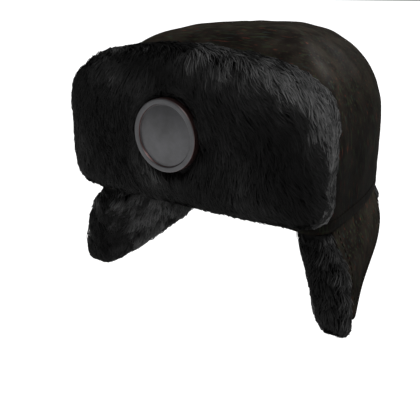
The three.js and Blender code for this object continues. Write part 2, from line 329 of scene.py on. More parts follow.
@dataclass(frozen=True)
class Thread(Finish):
    """Spun polyester sewing thread, dyed darker than the cloth and matt."""

    name: str = "spun polyester thread"
    colour: str = "0f0d0b"

    def values(self, tree: Tree) -> dict[str, object]:
        """Gives the shader's values, the same all along a thread as thin as this."""
        return {"Base Color": linear(self.colour), "Roughness": 0.8, "Specular IOR Level": 0.0}


@dataclass(frozen=True)
class SatinMetal(Finish):
    """Cast pewter or bronze, tumbled to a satin: dull, with faint pits and rubbed high spots.

    The pits are drawn coarser than real ones, which are too fine to show.
    """

    name: str = "satin pewter"
    dull: str = "4a4a4b"
    rubbed_and_highlight: str = "535355"
    rough: float = 0.52
    smooth: float = 0.34
    grain: float = 0.9 * MM
    cloud: float = 9 * MM
    pits: float = 0.08 * MM

    def values(self, tree: Tree) -> dict[str, object]:
        """Clouds the metal where it is less rubbed, and pits it finely.

        Args:
            tree: The material's node tree.

        Returns:
            The shader's values.
        """
        where = add_node(tree, "TexCoord").outputs["Object"]
        inputs = {"Vector": where, "Scale": 1 / self.cloud, "Detail": 4.0, "Roughness": 0.65}
        clouds = add_node(tree, "TexNoise", inputs).outputs[0]
        grain = add_node(tree, "TexNoise", {"Vector": where, "Scale": 1 / self.grain, "Detail": 2.0})
        colour = add_node(tree, "ValToRGB", {0: clouds})
        set_stops(colour, {0.3: self.dull, 0.7: self.rubbed_and_highlight})
        wear_and_painted_light = add_node(tree, "MapRange", {0: clouds, 3: self.rough, 4: self.smooth})
        inputs = {"Strength": 0.25, "Distance": self.pits, "Height": grain.outputs[0]}
        return {
            "Base Color": colour.outputs[0],
            "Metallic": 1.0,
            "Roughness": wear_and_painted_light.outputs[0],
            "Normal": add_node(tree, "Bump", inputs).outputs[0],
        }


@dataclass(frozen=True)
class PaintedFloor(Finish):
    """A studio floor, rolled with matt white paint, so it shows nothing but a soft shadow."""

    name: str = "matt white floor paint"
    colour: str = "e4e4e4"

    def values(self, tree: Tree) -> dict[str, object]:
        """Gives the shader's values, the same all over the paint."""
        return {"Base Color": linear(self.colour), "Roughness": 0.9, "Specular IOR Level": 0.1}


def waves(points: Array, length: float, seed: int, count: int = 6, height: float = 1.6) -> Array:
    """Gives smooth noise from -1 to 1, made of crossing sine waves.

    Args:
        points: Points in metres, one a row.
        length: The mean wavelength.
        seed: Chooses the waves' directions and phases.
        count: How many waves cross.
        height: How high they reach where they add up.

    Returns:
        A value for each point.
    """
    random = np.random.default_rng(seed)
    total = np.zeros(len(points))
    for _ in range(count):
        direction = random.normal(size=3)
        direction /= np.linalg.norm(direction)
        wavelength = length * random.uniform(0.7, 1.5)
        total += np.sin(points @ direction * 2 * math.pi / wavelength + random.uniform(0, 6.3))
    return total / count * height


def unit(vectors: Array) -> Array:
    """Gives rows of length 1 in the direction of each row."""
    return vectors / np.maximum(np.linalg.norm(vectors, axis=-1, keepdims=True), 1e-12)


def smooth_step(value: Array, low: float, high: float) -> Array:
    """Rises smoothly from 0 at low to 1 at high."""
    share = np.clip((value - low) / (high - low), 0, 1)
    return share * share * (3 - 2 * share)


def bump_at(value: Array, middle: float, width: float) -> Array:
    """Gives 1 in the middle of a ridge and falls off over its width."""
    return np.exp(-(((value - middle) / width) ** 2))


def passed(line: Array) -> Array:
    """Gives how far along a line each of its points is."""
    return np.concatenate([[0], np.cumsum(np.linalg.norm(np.diff(line, axis=0), axis=1))])


def superellipse(angle: Array, squareness: Array | float) -> tuple[Array, Array]:
    """Gives points of a superellipse of half sizes 1.

    Args:
        angle: The direction of each point from the middle.
        squareness: The exponent, 2 for a circle.

    Returns:
        How far across and how far up each point is.
    """
    across = np.cos(angle)
    rise = np.sin(angle)
    size = (np.abs(across) ** squareness + np.abs(rise) ** squareness) ** (1 / squareness)
    return across / size, rise / size


def finish_piece(piece: Piece, slot: Slot, material: Material, *nodes: str) -> None:
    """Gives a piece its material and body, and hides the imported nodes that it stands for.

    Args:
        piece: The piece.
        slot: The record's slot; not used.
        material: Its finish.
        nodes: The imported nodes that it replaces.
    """
    piece.data.materials.append(material)
    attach(piece, BODY)
    if nodes:
        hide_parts(*nodes)
    LOG.info("%s: %d vertices", piece.name, len(piece.data.vertices))


def link(name: str, data: bpy.types.ID) -> Piece:
    """Puts a mesh, light or camera in the scene.

    Args:
        name: Its plain name.
        data: The mesh, light or camera.

    Returns:
        The object that shows it.
    """
    piece = bpy.data.objects.new(name, data)
    bpy.context.scene.collection.objects.link(piece)
    return piece


def link_built(name: str, bm: bmesh.types.BMesh) -> Piece:
    """Turns a mesh under construction into a piece of the scene.

    Args:
        name: The piece's name.
        bm: The mesh, which is freed.

    Returns:
        The piece.
    """
    mesh = bpy.data.meshes.new(name)
    bm.to_mesh(mesh)
    bm.free()
    return link(name, mesh)


def sort_faces(bm: bmesh.types.BMesh) -> None:
    """Puts faces in the order of their vertices, because operators leave them in any order.

    Args:
        bm: The mesh under construction.
    """
    bm.verts.index_update()
    count = len(bm.verts)

    def number(face: bmesh.types.BMFace) -> int:
        """Numbers a face by its three lowest vertices."""
        first, second, third = sorted(vert.index for vert in face.verts)[:3]
        return (first * count + second) * count + third

    bm.faces.sort(key=number)


def warped_sphere(name: str, around: int, rows: int, place: Place) -> Piece:
    """Makes a closed piece by moving every point of a sphere.

    Args:
        name: The piece's name.
        around: Steps round the sphere.
        rows: Steps from pole to pole.
        place: Gives the points for ways from pole to pole and turns about them, each 0 to 1.

    Returns:
        The piece, smooth shaded, with its faces outwards.
    """
    bm = bmesh.new()
    bmesh.ops.create_uvsphere(bm, u_segments=around, v_segments=rows, radius=1.0)
    ball = np.array([vert.co for vert in bm.verts])
    way = np.arccos(np.clip(ball[:, 2], -1, 1)) / math.pi
    turn = (np.arctan2(ball[:, 1], ball[:, 0]) / (2 * math.pi)) % 1.0
    for vert, point in zip(bm.verts, place(way, turn)):
        vert.co = point
    if bm.calc_volume(signed=True) < 0:
        bmesh.ops.reverse_faces(bm, faces=bm.faces)
    sort_faces(bm)
    for face in bm.faces:
        face.smooth = True
    return link_built(name, bm)


def mesh_points(mesh: Mesh) -> Array:
    """Reads where a mesh's vertices are.

    Args:
        mesh: The mesh.

    Returns:
        The points, one a row.
    """
    points = np.empty(len(mesh.vertices) * 3)
    mesh.vertices.foreach_get("co", points)
    return points.reshape(-1, 3)


def mesh_normals(mesh: Mesh) -> Array:
    """Reads which way a mesh faces at its vertices.

    Args:
        mesh: The mesh.

    Returns:
        The normals, one a row.
    """
    normals = np.empty(len(mesh.vertices) * 3)
    mesh.vertex_normals.foreach_get("vector", normals)
    return normals.reshape(-1, 3)


def move_points(mesh: Mesh, points: Array) -> None:
    """Puts a mesh's vertices at new points."""
    mesh.vertices.foreach_set("co", points.ravel())
    mesh.update()


def set_value(mesh: Mesh, name: str, values: Array) -> None:
    """Stores a number for each of a mesh's vertices, for its material to read."""
    mesh.attributes.new(name, "FLOAT", "POINT").data.foreach_set("value", values)


def surface_tree(piece: Piece) -> BVHTree:
    """Builds the search tree of a piece's surface.

    Args:
        piece: The piece.

    Returns:
        The tree.
    """
    bm = bmesh.new()
    bm.from_mesh(piece.data)
    tree = BVHTree.FromBMesh(bm)
    bm.free()
    return tree


def nearest(tree: BVHTree, points: Array) -> tuple[Array, Array]:
    """Finds the nearest place on a surface, and its normal, for each point."""
    found = [tree.find_nearest(Vector(point)) for point in points]
    return np.array([hit[0] for hit in found]), np.array([hit[1] for hit in found])


def nearest_index(points: Array, others: Array, block: int = 2000) -> Array:
    """Finds which of some points is nearest to each point.

    Args:
        points: The points, one a row.
        others: The points to choose from.
        block: How many points are compared at a time.

    Returns:
        The number of the nearest for each point.
    """
    found = np.empty(len(points), dtype=np.int64)
    for start in range(0, len(points), block):
        part = points[start : start + block]
        gaps = ((part[:, None, :] - others[None, :, :]) ** 2).sum(axis=2)
        found[start : start + block] = gaps.argmin(axis=1)
    return found


def pushed_out(tree: BVHTree, points: Array, clearance: float, reach: float) -> Array:
    """Moves points that are inside a closed surface, or too near it, out of it.

    Args:
        tree: The surface.
        points: Points in metres, one a row.
        clearance: The least distance that a moved point keeps.
        reach: How deep a point may lie and still be moved.

    Returns:
        The points, moved where needed.
    """
    places, normals = nearest(tree, points)
    depth = np.einsum("ij,ij->i", points - places, normals)
    gap = np.linalg.norm(points - places, axis=1)
    inside = (depth < clearance) & (gap < reach)
    return np.where(inside[:, None], places + normals * clearance, points)


def thin_tubes(name: str, paths: Array, widths: Array, sides: int) -> Piece:
    """Joins many thin tubes, each closed at its start and pointed at its end, into one piece.

    Args:
        name: The piece's name.
        paths: Points of each tube from start to end.
        widths: The radius of each tube at each of its points but the last.
        sides: How many sides a tube has.

    Returns:
        The piece, smooth shaded.
    """
    count, stations, _ = paths.shape
    rings = stations - 1
    along = unit(np.gradient(paths, axis=1))
    sideways = unit(np.cross(along, [0.31, 0.87, 0.38]))
    other = np.cross(along, sideways)
    ring_points = []
    for corner in range(sides):
        angle = corner * 2 * math.pi / sides
        offset = math.cos(angle) * sideways[:, :rings] + math.sin(angle) * other[:, :rings]
        ring_points.append(paths[:, :rings] + offset * widths[:, :, None])
    body = np.stack(ring_points, axis=2).reshape(count, rings * sides, 3)
    points = np.concatenate([body, paths[:, -1:]], axis=1)
    per_tube = rings * sides + 1
    faces: list[tuple[int, ...]] = [tuple(range(sides))[::-1]]
    for ring in range(rings - 1):
        for corner in range(sides):
            a = ring * sides + corner
            b = ring * sides + (corner + 1) % sides
            faces.append((a, b, b + sides, a + sides))
    last = (rings - 1) * sides
    faces += [(last + c, last + (c + 1) % sides, per_tube - 1) for c in range(sides)]
    pattern = np.concatenate([np.array(face) for face in faces])
    loops = (pattern[None, :] + np.arange(count)[:, None] * per_tube).ravel()
    counts = np.tile([len(face) for face in faces], count)
    starts = np.concatenate([[0], np.cumsum(counts)[:-1]])
    mesh = bpy.data.meshes.new(name)
    mesh.vertices.add(count * per_tube)
    mesh.vertices.foreach_set("co", points.ravel())
    mesh.loops.add(len(loops))
    mesh.loops.foreach_set("vertex_index", loops.astype(np.int32))
    mesh.polygons.add(len(counts))
    mesh.polygons.foreach_set("loop_start", starts.astype(np.int32))
    mesh.update(calc_edges=True)
    mesh.polygons.foreach_set("use_smooth", np.ones(len(counts), dtype=bool))
    return link(name, mesh)


@dataclass
class Crown:
    """The padded cloth cap: an upright wall that domes over, with a rolled rim.

    A swell has a height, a length and a seed. The cloth has a painted highlight round a place on each
    front shoulder, painted light on its top, and painted shade low down, near the rim.
    """

    half_width: float = 100.5 * MM
    widest_y: float = -58 * MM
    front_y: float = -109 * MM
    back_y: float = 109 * MM
    front_power: float = 6
    back_power: float = 2.2
    height: float = 128 * MM
    shoulder: float = 42 * MM
    dome_power: float = 2.35
    top_radius: float = 104 * MM
    top_rounding: float = 0.5
    front_lift: float = 10 * MM
    lift_share: float = 0.75
    wall: float = 10 * MM
    brow_rise: float = 6 * MM
    brow_share: float = 0.9
    brow_fade: float = 14 * MM
    rim_radius: float = 4 * MM
    hem: float = 10 * MM
    hem_width: float = 1.8 * MM
    hem_depth: float = 0.9 * MM
    hem_ends: tuple[float, float] = (0.14, 0.86)
    highlight_place: tuple[float, float, float] = (77 * MM, -84 * MM, 104 * MM)
    highlight_reach: float = 32 * MM
    swells: tuple[tuple[float, float, int], ...] = ((0.9 * MM, 60 * MM, 3), (0.35 * MM, 22 * MM, 4))
    # Painted light: the sides keep this share of the colour, and the gain below makes the top lighter
    # and sets the shoulders' painted highlight.
    shade: float = 0.72
    wear_and_painted_light: float = 1.3
    painted_shade_depth: float = 0.4

    def outline(self, turn: Array) -> Array:
        """Gives points of the rim's outline, evenly spaced from the middle of the front.

        Args:
            turn: Shares of the way round, towards the wearer's left.

        Returns:
            X and Y of each point.
        """
        angle = np.linspace(-0.5, 1.5, 4001) * math.pi
        across = np.cos(angle)
        along = np.sin(angle)
        front = along < 0
        power = 2 / np.where(front, self.front_power, self.back_power)
        reach = np.where(front, self.widest_y - self.front_y, self.back_y - self.widest_y)
        x = self.half_width * np.sign(across) * np.abs(across) ** power
        y = self.widest_y + reach * np.sign(along) * np.abs(along) ** power
        length = np.concatenate([[0], np.cumsum(np.hypot(np.diff(x), np.diff(y)))])
        share = length / length[-1]
        return np.stack([np.interp(turn, share, x), np.interp(turn, share, y)], axis=1)

    def section(self, way: Array) -> tuple[Array, Array]:
        """Gives the wall's section, from the top outside, round the rim, to the top inside.

        Args:
            way: Shares of the way along the section.

        Returns:
            The share of the way out to the outline, and the height, of each point.
        """
        angle = np.linspace(0, math.pi / 2, 200)
        out = np.cos(angle) ** (2 / self.dome_power)
        up = np.sin(angle) ** (2 / self.dome_power)
        rise = self.height - self.shoulder
        thin = 1 - self.wall / self.half_width
        round_out = self.rim_radius * (1 - np.cos(angle)) / self.half_width
        round_up = self.rim_radius * (1 - np.sin(angle))
        share = np.concatenate([out[::-1], 1 - round_out, thin + round_out[::-1], thin * out])
        outer = self.shoulder + rise * up[::-1]
        inner = self.shoulder + (rise - self.wall) * up
        height = np.concatenate([outer, round_up, round_up[::-1], inner])
        length = np.hypot(np.diff(share) * self.half_width, np.diff(height))
        way_along = np.concatenate([[0], np.cumsum(length + 1e-9)])
        way_along /= way_along[-1]
        return np.interp(way, way_along, share), np.interp(way, way_along, height)

    def place(self, way: Array, turn: Array) -> Array:
        """Gives points of the crown's surface.

        Args:
            way: Shares of the way along the wall's section.
            turn: Shares of the way round.

        Returns:
            The points.
        """
        share, height = self.section(way)
        edge = self.outline(turn)
        size = np.linalg.norm(edge, axis=1)
        rounding = self.top_rounding * (1 - share)
        reach = size + (self.top_radius - size) * rounding
        forward = np.maximum(0, edge[:, 1] / self.front_y)
        over = np.clip((height - self.shoulder) / self.shoulder, 0, 1)
        hump = (1 - share) / (1 - self.lift_share) * (share / self.lift_share) ** 3
        brow = np.maximum(0, 1 - (edge[:, 0] / (self.brow_share * self.half_width)) ** 4)
        near_rim = np.clip(1 - height / self.brow_fade, 0, 1) * (edge[:, 1] < 0)
        lift = self.front_lift * forward**2 * hump * over + self.brow_rise * brow * near_rim
        flat = edge / size[:, None] * (share * reach)[:, None]
        return np.column_stack([flat, height + lift])

    def hem_line(self) -> Array:
        """Gives the line of the hem's stitches, from end to end of the front flap."""
        edge = self.outline(np.linspace(*self.hem_ends, 400))
        return np.column_stack([edge, np.full(len(edge), self.hem)])

    def build(self, wool: Material) -> Piece:
        """Builds the crown and softens it as wadded cloth, with a groove along its hem for the stitches.

        Args:
            wool: The cloth's material.

        Returns:
            The finished piece.
        """
        piece = warped_sphere("crown_cloth", 160, 120, self.place)
        points = mesh_points(piece.data)
        normals = mesh_normals(piece.data)
        slack = smooth_step(points[:, 2], 0.5 * self.hem, 3 * self.hem)
        swell = sum(height * waves(points, length, seed) for height, length, seed in self.swells)
        outside = np.einsum("ij,ij->i", normals, points - [0, 0, 0.3 * self.height]) > 0
        groove = bump_at(points[:, 2], self.hem, self.hem_width) * outside
        shift = swell * slack - self.hem_depth * groove
        move_points(piece.data, points + normals * shift[:, None])
        upwards = smooth_step(np.abs(normals[:, 2]), 0.05, 0.98)
        # Painted shade: the cloth darkened low on the crown, towards the rim.
        shaded_near_rim = 1 - smooth_step(points[:, 2], self.hem, 6 * self.hem)
        # Painted highlight: a pale spot round a place on each front shoulder of the crown.
        away = np.column_stack([np.abs(points[:, 0]), points[:, 1:]]) - self.highlight_place
        rubbed_and_highlight = bump_at(np.linalg.norm(away, axis=1), 0, self.highlight_reach)
        set_value(piece.data, "top", upwards)
        # Painted light and shade: the top lighter than the sides, a painted highlight on each front
        # shoulder, and painted shade near the rim.
        painted_light_and_shade = self.shade + self.wear_and_painted_light * upwards + self.wear_and_painted_light * rubbed_and_highlight
        set_value(piece.data, "painted_light_and_shade", painted_light_and_shade * (1 - self.painted_shade_depth * shaded_near_rim))
        finish_piece(piece, Slot.CLOTH, wool, "crown")
        return piece


@dataclass
class HangingFlap:
    """The shape that ear flaps and the neck flap share: a furred pad with cloth on its outside.

    Its middle follows a curve in the rim's plane, and its outline is a superellipse
    that is cut off at the rim.
    """

    curve: Array
    start: float
    end: float
    bottom: float
    back_bottom: float
    outer_depth: float
    inner_depth: float
    front_flare: float
    back_flare: float
    front_squareness: float
    back_squareness: float
    tuck: float = 24 * MM
    profile: float = 6
    outwards: float = 0
    rim_reach: float = 30 * MM
    rim_pull: float = 6.6 * MM
    front_pull: float = 3.5 * MM
    rim_swell: float = 4 * MM
    cloth_reach: float = 0.88
    cloth_thickness: float = 2.5 * MM
    cloth_proud: float = 0.6 * MM
    cloth_top: float = 1.0 * MM
    edge_start: float = 0.46
    setback: float = 0.1
    setback_reach: float = 62 * MM
    pad_top: float = 1.2 * MM
    fur_depth: float = 1.0 * MM
    fur_drop: float = 4.5 * MM
    fur_share: float = 0.004
    stitch_inset: float = 3.2 * MM
    seam: float = 5 * MM
    seam_width: float = 1.3 * MM
    seam_depth: float = 0.5 * MM
    seam_top: float = -2 * MM
    swell: float = 0.5 * MM
    swell_length: float = 45 * MM
    painted_top_light: float = 1.8
    painted_light_drop: float = 1.05

    def beside(self, share: Array, out: Array, z: Array) -> Array:
        """Gives points beside the curve.

        Args:
            share: Shares of the curve's length.
            out: How far out from the curve each point is.
            z: The heights.

        Returns:
            The points.
        """
        length = passed(self.curve)
        shares = length / length[-1]
        middle = (shares[1:] + shares[:-1]) / 2
        tangent = unit(np.diff(self.curve, axis=0))
        x, y = (np.interp(share, shares, self.curve[:, i]) for i in range(2))
        along_x, along_y = (np.interp(share, middle, tangent[:, i]) for i in range(2))
        return np.column_stack([x + along_y * out, y - along_x * out, z])

    def surface(self, s: Array, turn: Array) -> Array:
        """Gives points of the pad, before it is cut off at the rim.

        Args:
            s: From the middle of the outer face, 0, over the edge, 0.5, to the inner face, 1.
            turn: Shares of the way round the pad.

        Returns:
            The points.
        """
        face, share = superellipse(s * math.pi, self.profile)
        angle = turn * 2 * math.pi
        squareness = np.where(np.cos(angle) > 0, self.back_squareness, self.front_squareness)
        across, up = superellipse(angle, squareness)
        along = share * across
        rise = share * up
        backness = (1 + along) / 2
        bottom = self.bottom + (self.back_bottom - self.bottom) * backness
        flare = self.back_flare + (self.front_flare - self.back_flare) * (1 - backness) ** 3
        z = np.where(rise > 0, self.tuck * rise, -bottom * rise)
        near_rim = 1 - smooth_step(-z, 0, self.rim_reach)
        pull = (self.rim_pull + self.front_pull * (1 - backness) ** 3) * near_rim
        inner = self.inner_depth + self.rim_swell * (1 - backness) * near_rim
        depth = np.where(face > 0, self.outer_depth - pull, inner)
        out = self.outwards + depth * face - flare * np.minimum(0, z)
        middle = (self.start + self.end) / 2
        return self.beside(middle + along * (self.end - self.start) / 2, out, z)

    def cloth_place(self, way: Array, turn: Array) -> Array:
        """Gives points of the cloth panel, a closed sheet with a rounded edge.

        Args:
            way: From the middle of the outside, 0, round the edge, 0.5, to the inside, 1.
            turn: Shares of the way round the panel.

        Returns:
            The points.
        """
        edge = self.cloth_thickness / 2
        inner_reach = self.cloth_reach - edge / abs(self.back_bottom)
        round_way = np.clip((way - self.edge_start) / (1 - 2 * self.edge_start), 0, 1) * math.pi
        flat_way = np.clip(np.minimum(way, 1 - way) / self.edge_start, 0, 1)
        bulge = np.sin(round_way) * edge
        share = inner_reach * flat_way + bulge / abs(self.back_bottom)
        across, up = superellipse(turn * 2 * math.pi, self.front_squareness)
        near_rim = 1 - smooth_step(self.bottom * up * share, 0, self.setback_reach)
        share = share * (1 - self.setback * smooth_step(-across, 0.2, 0.9) * near_rim)
        lift = self.cloth_proud - edge + edge * np.cos(round_way)
        from_edge = (self.cloth_reach - share) * abs(self.back_bottom)
        groove = bump_at(from_edge, self.seam, self.seam_width) * (way < 0.5)
        face = (1 - np.minimum(1, share) ** self.profile) ** (1 / self.profile)
        s = np.arctan2(share, face) / math.pi
        outer = self.surface(s, turn)
        outward = unit(outer - self.surface(1 - s, turn))
        points = outer + outward * (lift - self.seam_depth * groove)[:, None]
        points[:, 2] = np.minimum(points[:, 2], self.cloth_top)
        return points

    def seam_line(self, side: Side) -> Array:
        """Gives the line of the stitches that sew the panel down, inside its edge.

        Args:
            side: The side that the flap hangs on.

        Returns:
            The line's points, from the front to the back.
        """
        turn = np.linspace(0.5, 1, 300)
        reach = 1 - self.stitch_inset / abs(self.back_bottom) / self.cloth_reach
        line = self.cloth_place(np.full(len(turn), self.edge_start * reach), turn)
        return line[line[:, 2] < self.seam_top] * [side.value, 1, 1]

    def build_pad(self, side: Side, node: str) -> Piece:
        """Builds the furred pad, a hair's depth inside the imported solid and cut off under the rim.

        Args:
            side: The side that it hangs on.
            node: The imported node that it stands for.

        Returns:
            The pad, without a finish.
        """
        slim = replace(
            self,
            bottom=self.bottom + self.fur_drop,
            back_bottom=self.back_bottom + self.fur_drop,
            outer_depth=self.outer_depth - self.fur_depth,
            inner_depth=self.inner_depth - self.fur_depth,
            start=self.start + self.fur_share,
            end=self.end - self.fur_share,
        )

        def placed(way: Array, turn: Array) -> Array:
            """Cuts the slimmer pad off under the rim, on its side."""
            points = slim.surface(way, turn)
            points[:, 2] = np.minimum(points[:, 2], self.pad_top)
            return points * [side.value, 1, 1]

        return warped_sphere(f"{node}_under_fur", 96, 80, placed)

    def build_cloth(self, side: Side, wool: Material, node: str, rests_on: str) -> Piece:
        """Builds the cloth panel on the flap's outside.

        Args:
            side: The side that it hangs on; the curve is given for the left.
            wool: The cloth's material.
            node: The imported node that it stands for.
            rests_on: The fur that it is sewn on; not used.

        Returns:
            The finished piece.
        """

        def placed(way: Array, turn: Array) -> Array:
            """Puts the panel on its side."""
            return self.cloth_place(way, turn) * [side.value, 1, 1]

        piece = warped_sphere(f"{node}_panel", 120, 72, placed)
        points = mesh_points(piece.data)
        normals = mesh_normals(piece.data)
        slack = smooth_step(-points[:, 2], 4 * MM, 20 * MM)
        swell = self.swell * waves(points, self.swell_length, 8) * slack
        shift = np.zeros_like(points)
        shift[:, :2] = normals[:, :2] * np.abs(swell)[:, None]
        move_points(piece.data, points + shift)
        # Painted light and shade: the panel lighter at its top and darker lower down.
        lower = smooth_step(points[:, 2] / self.bottom, 0, 0.66)
        set_value(piece.data, "painted_light_and_shade", self.painted_top_light - self.painted_light_drop * lower)
        finish_piece(piece, Slot.CLOTH, wool, node)
        return piece

    def flow(self, points: Array, normals: Array) -> Array:
        """Gives the lie of the fur: down, and a little forward and outwards.

        Args:
            points: Points of the pad.
            normals: The pad's normals there.

        Returns:
            The way that a hair lies at each.
        """
        sway = 0.4 * waves(points, 45 * MM, 31)
        x = 0.25 * normals[:, 0] + 0.5 * sway
        return np.column_stack([x, -0.35 + sway, -np.ones(len(points))])

    def painted_fur_light(self, points: Array, normals: Array) -> Array:
        """Gives painted light on the fur, 0 to 1: most where it faces outwards, and some on the inner
        face.
        """
        # Painted light: paler fur on the outward-facing border and on the inner face.
        outwards = normals[:, 0] * np.sign(points[:, 0])
        return 0.55 * smooth_step(outwards, -0.5, 1.0) + 0.5 * smooth_step(-outwards, 0.3, 0.95)


def spline(knots: Array, steps: int) -> Array:
    """Draws a smooth curve through points.

    Args:
        knots: The points, one a row.
        steps: Steps between two neighbours.

    Returns:
        Points of a centripetal curve.
    """
    ends = np.vstack([2 * knots[0] - knots[1], knots, 2 * knots[-1] - knots[-2]])
    gaps = np.linalg.norm(np.diff(ends, axis=0), axis=1) ** 0.5
    drawn = []
    for i in range(1, len(ends) - 2):
        before, first, second, after = ends[i - 1 : i + 3]
        g0, g1, g2 = gaps[i - 1 : i + 2]
        leave = ((first - before) / g0 - (second - before) / (g0 + g1) + (second - first) / g1) * g1
        reach = ((second - first) / g1 - (after - first) / (g1 + g2) + (after - second) / g2) * g1
        t = np.linspace(0, 1, steps, endpoint=False)[:, None]
        square = (-3 * first + 3 * second - 2 * leave - reach) * t**2
        cube = (2 * first - 2 * second + leave + reach) * t**3
        drawn.append(first + leave * t + square + cube)
    return np.vstack([*drawn, knots[-1:]])


def share_at_y(curve: Array, y: float) -> float:
    """Gives the share of a curve's length at which its rising Y passes a value."""
    length = passed(curve)
    return float(np.interp(y, curve[:, 1], length / length[-1]))


def ear_flap() -> HangingFlap:
    """Gives the left ear flap's shape.

    Returns:
        The flap, deepest at its front corner.
    """
    spine = np.array([(94, -112), (93, -78), (91, -50), (86, 5), (79, 33), (64, 68)]) * MM
    curve = spline(spine, 40)
    return HangingFlap(
        curve=curve,
        start=share_at_y(curve, -100 * MM),
        end=share_at_y(curve, 47 * MM),
        bottom=-76 * MM,
        back_bottom=-39 * MM,
        outer_depth=13 * MM,
        inner_depth=14 * MM,
        front_flare=0.25,
        back_flare=0.05,
        front_squareness=11,
        back_squareness=4,
    )


def neck_flap(crown: Crown) -> HangingFlap:
    """Gives the neck flap's shape, which follows the crown's outline round the back.

    Args:
        crown: The crown that it hangs from.

    Returns:
        The flap, the same at both ends.
    """
    curve = crown.outline(np.linspace(0, 1, 1201))
    half = curve[: len(curve) // 2 + 1]
    start = share_at_y(half, 56 * MM) / 2
    return HangingFlap(
        curve=curve,
        start=start,
        end=1 - start,
        bottom=-40 * MM,
        back_bottom=-40 * MM,
        outer_depth=9 * MM,
        inner_depth=11 * MM,
        front_flare=0.12,
        back_flare=0.12,
        front_squareness=5,
        back_squareness=5,
        outwards=-4 * MM,
        rim_reach=24 * MM,
        rim_pull=6.8 * MM,
        front_pull=0,
        rim_swell=0,
    )


@dataclass
class FrontFlap:
    """The flap turned up against the crown: an arched top, round corners and a straight bottom.

    The fur has a painted highlight in the top corner that it is brushed towards, and fainter
    painted light in a strip along that end.
    """

    half_width: float = 104 * MM
    bottom: float = 12 * MM
    end_bottom: float = 10 * MM
    top: float = 117 * MM
    end_top: float = 101 * MM
    top_squareness: float = 5
    bottom_squareness: float = 8
    depth: float = 20 * MM
    wrap: float = 8 * MM
    edge_y: float = -114 * MM
    bow: float = 5.5 * MM
    profile: float = 2.5
    fur_depth: float = 1.2 * MM
    clearance: float = 0.3 * MM
    corner_heights: tuple[float, float] = (40 * MM, 104 * MM)
    corner_reach: tuple[float, float] = (12 * MM, 84 * MM)
    strip_reach: tuple[float, float] = (74 * MM, 102 * MM)
    strip_highlight: float = 0.42

    def surface(self, s: Array, turn: Array) -> Array:
        """Gives points of the pad.

        Args:
            s: From the middle of the front, 0, over the edge, 0.5, to the back, 1.
            turn: Shares of the way round the pad.

        Returns:
            The points.
        """
        face, share = superellipse(s * math.pi, self.profile)
        angle = turn * 2 * math.pi
        squareness = np.where(np.sin(angle) > 0, self.top_squareness, self.bottom_squareness)
        edge_across, edge_rise = superellipse(angle, squareness)
        across = share * edge_across
        top = self.top + (self.end_top - self.top) * across**2 - self.fur_depth
        bottom = self.bottom + (self.end_bottom - self.bottom) * across**2 + self.fur_depth
        depth = np.where(face > 0, self.depth - self.fur_depth, self.wrap)
        x = (self.half_width - self.fur_depth) * across
        y = self.edge_y + self.bow * across**2 - depth * face
        return np.column_stack([x, y, (top + bottom) / 2 + share * edge_rise * (top - bottom) / 2])

    def build_pad(self, crown: BVHTree) -> Piece:
        """Builds the furred pad, a hair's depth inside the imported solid, against the crown.

        Args:
            crown: The crown's surface.

        Returns:
            The pad, without a finish.
        """

        def placed(way: Array, turn: Array) -> Array:
            """Keeps the pad off the crown."""
            return pushed_out(crown, self.surface(way, turn), self.clearance, self.depth)

        return warped_sphere("front_flap_under_fur", 156, 92, placed)

    def flow(self, points: Array, normals: Array) -> Array:
        """Gives the lie of the fur: along the upper border, then down and sideways.

        Args:
            points: Points of the pad.
            normals: The pad's normals there.

        Returns:
            The way that a hair lies at each.
        """
        across = points[:, 0] / self.half_width
        edge = 1 - smooth_step(-normals[:, 1], 0.3, 0.75)
        upper = smooth_step(normals[:, 2] + np.abs(normals[:, 0]), 0.1, 0.6)
        sweep = 0.3 + 0.55 * across + 0.5 * waves(points, 75 * MM, 21)
        x = sweep * (1 - edge) + 1.4 * normals[:, 2] * edge * upper
        y = -1.2 * edge * (1 - 0.7 * upper)
        z = -1 + edge * upper * (1 - np.abs(normals[:, 0]))
        return np.column_stack([x, y, z])

    def painted_fur_light(self, points: Array, normals: Array) -> Array:
        """Gives the painted light on the fur: a painted highlight in the upper corner, and a fainter
        strip along the end.

        Args:
            points: Points of the pad.
            normals: The pad's normals there.

        Returns:
            A share for each, 0 to 1.
        """
        # Painted highlight: paler fur where the top corner faces up and outwards, and a fainter strip of
        # painted light along the end.
        facing = 0.6 * normals[:, 0] + 0.8 * normals[:, 2]
        corner = smooth_step(facing, 0.0, 0.85) * (1 - 0.4 * smooth_step(facing, 0.75, 1.0))
        corner *= smooth_step(points[:, 2], *self.corner_heights)
        corner *= smooth_step(points[:, 0], *self.corner_reach)
        strip = smooth_step(points[:, 0], *self.strip_reach)
        return corner + self.strip_highlight * strip * (1 - corner)


